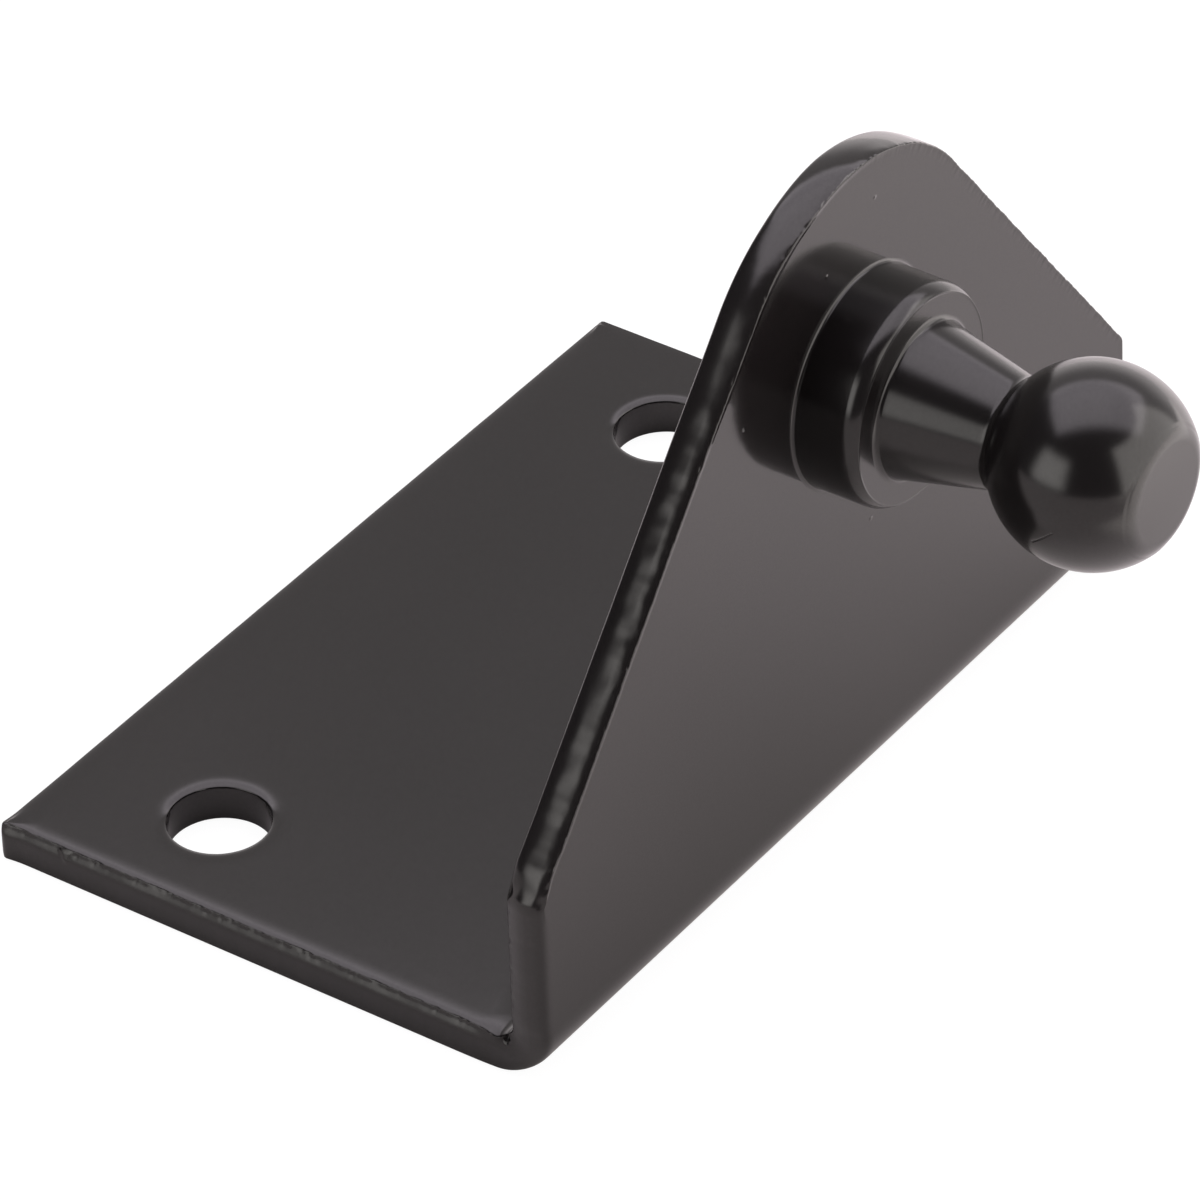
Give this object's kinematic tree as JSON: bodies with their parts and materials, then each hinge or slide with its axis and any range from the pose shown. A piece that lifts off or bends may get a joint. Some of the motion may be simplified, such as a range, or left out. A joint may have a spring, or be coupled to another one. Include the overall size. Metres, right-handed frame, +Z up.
{
  "type": "gas spring ball stud bracket",
  "caption": "bent steel angle bracket with mounting holes in its base and a riveted ball stud on its slanted, round-topped upright flange, painted black",
  "frame": {"origin": "midway between the two mounting holes, on the mounting face (underside of the base)", "axes": "+Z up, out of the mounting face; X along the bend line, the longest side; the ball stud points to -Y"},
  "size_m": [0.0494, 0.0489, 0.0366],
  "materials": {
    "painted_plate": "satin black paint over sheet steel, faint cool tint, fine orange peel",
    "painted_stud": "semi-gloss black paint over turned steel"
  },
  "bodies": {
    "root": {"bracket_plate": "painted_plate", "ball_stud": "painted_stud"}
  },
  "joints": []
}
